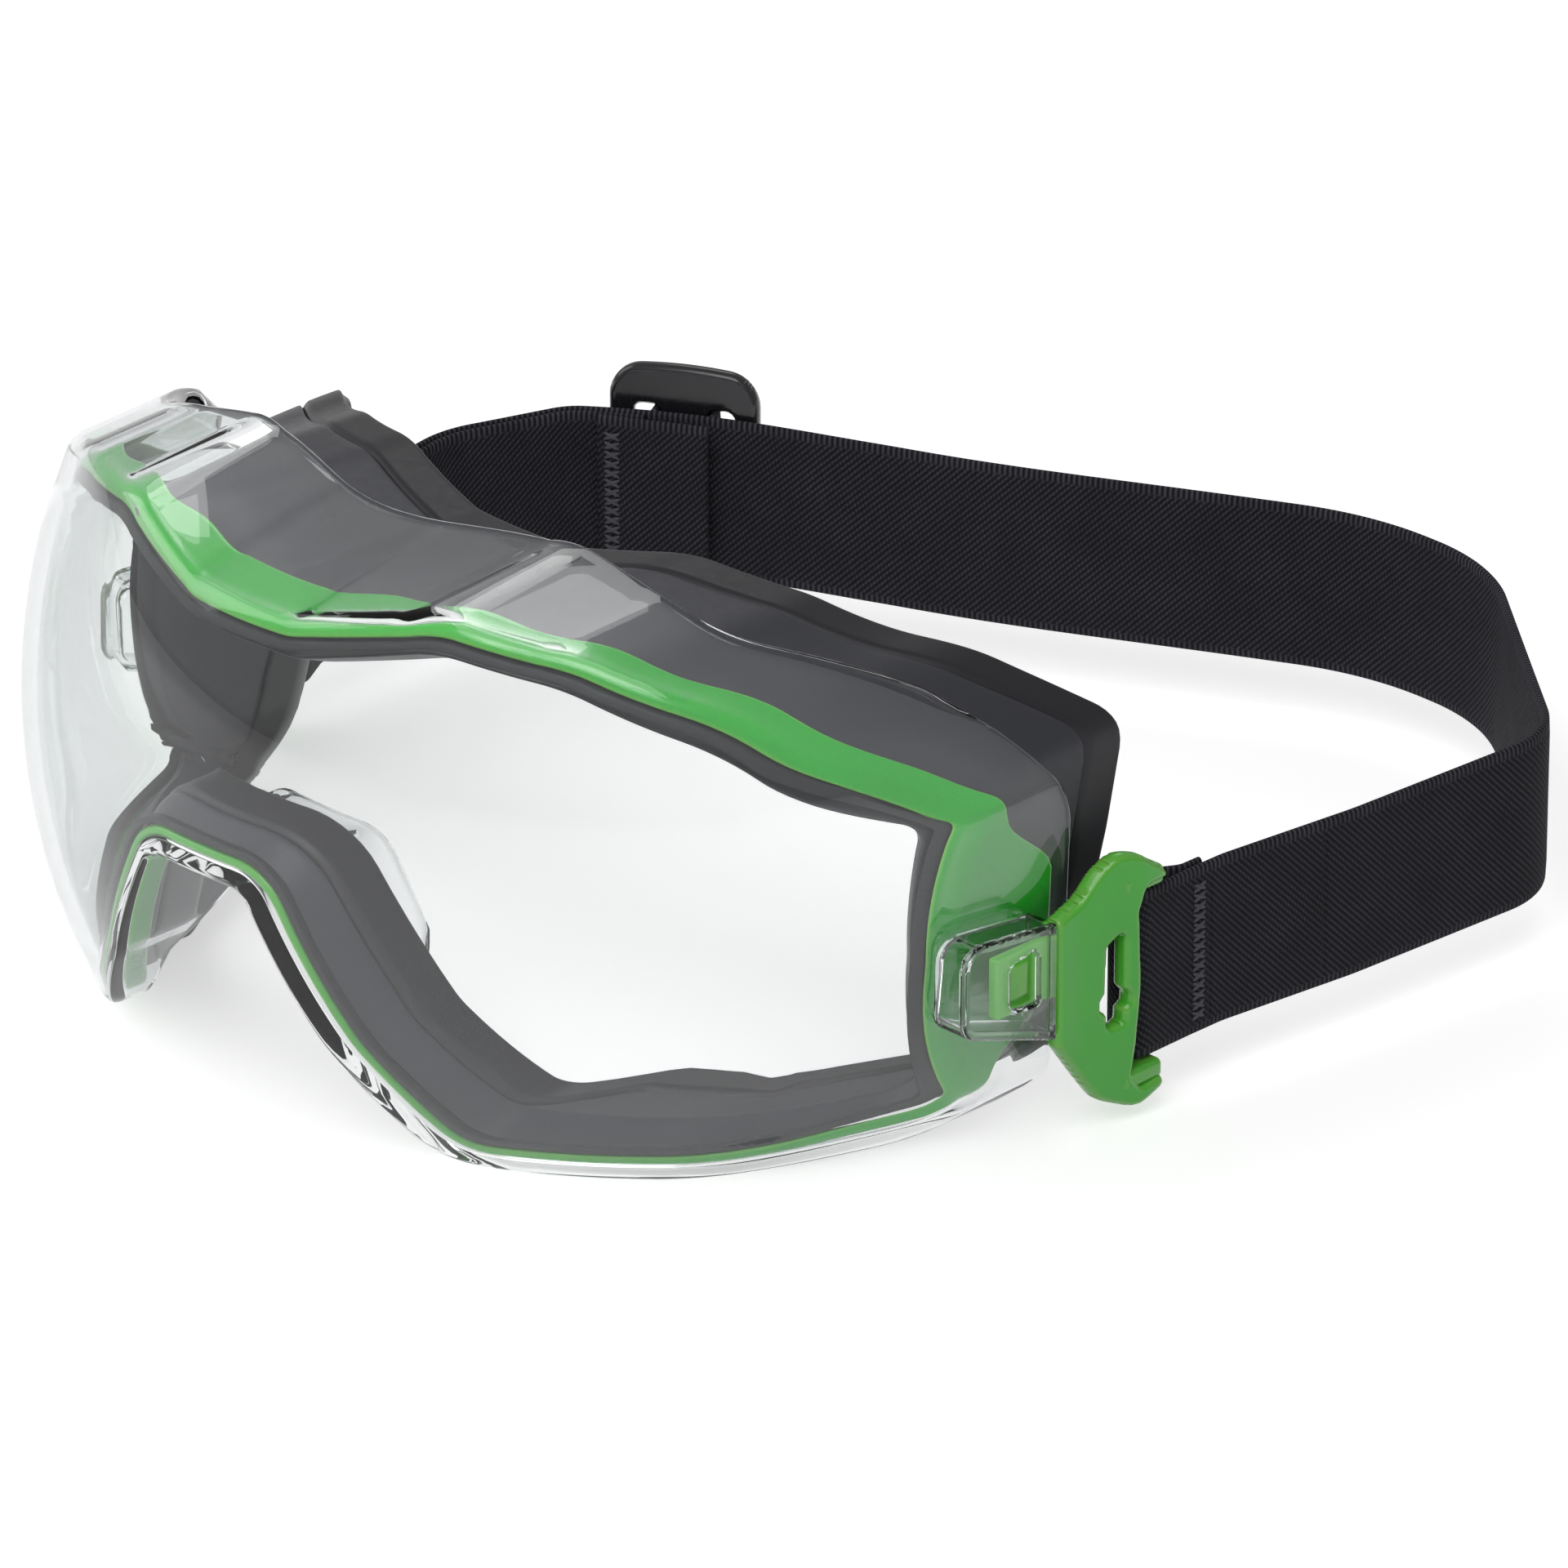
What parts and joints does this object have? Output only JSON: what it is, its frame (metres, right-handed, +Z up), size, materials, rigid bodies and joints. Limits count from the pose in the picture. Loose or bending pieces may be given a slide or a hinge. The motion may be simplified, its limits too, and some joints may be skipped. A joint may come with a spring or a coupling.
{
  "type": "safety goggles",
  "caption": "Wrap-round clear safety goggles with a coloured frame, soft face seal, snap-in strap clips and an adjustable elastic head strap.",
  "frame": {"origin": "centre of the base of the whole object's box, on the surface that it stands on", "axes": "+Z up as worn, -Y the way the goggles face, +X the wearer's left"},
  "size_m": [0.182, 0.2056, 0.0809],
  "materials": {
    "clear_lens": "clear gloss",
    "green_plastic": "gloss",
    "grey_rubber": "satin",
    "dark_rubber": "matt",
    "black_plastic": "satin",
    "webbing": "woven",
    "thread": "twisted thread"
  },
  "bodies": {
    "goggles": {"lens": "clear_lens", "lens_gasket": "dark_rubber", "frame": "green_plastic", "face_skirt": "grey_rubber", "face_seal": "dark_rubber"},
    "left_clip": {"clip_left": "green_plastic", "webbing_left_loop": "webbing", "stitching_left_loop": "thread", "webbing_left_flex": "webbing"},
    "right_clip": {"clip_right": "green_plastic", "webbing_right_turn": "webbing", "webbing_right_flex": "webbing"},
    "strap": {"webbing_left_side": "webbing", "webbing_rear_bend": "webbing", "webbing_back": "webbing", "webbing_right_outer": "webbing", "webbing_right_inner": "webbing"},
    "slider": {"slider": "black_plastic", "webbing_slider_wrap": "webbing", "webbing_slider_tail": "webbing", "stitching_slider": "thread"}
  },
  "joints": [
    {"name": "left_clip_release", "type": "slide", "parent": "goggles", "child": "left_clip", "axis": [0, 1, 0], "range_m": [0, 0.012]},
    {"name": "right_clip_release", "type": "slide", "parent": "goggles", "child": "right_clip", "axis": [0, 1, 0], "range_m": [0, 0.012]},
    {"name": "strap_tilt", "type": "hinge", "parent": "left_clip", "child": "strap", "pos_m": [0.088, 0.01345, 0.0205], "axis": [1, 0, 0], "range_deg": [-6, 35], "deforming": ["webbing_left_flex", "webbing_right_flex"]},
    {"name": "slider_travel", "type": "slide", "parent": "strap", "child": "slider", "axis": [0.876, 0.4822, 0], "range_m": [-0.002, 0.014]}
  ],
  "couplings": [
    {"joint": "right_clip_release", "follows": "left_clip_release", "ratio": 1}
  ]
}
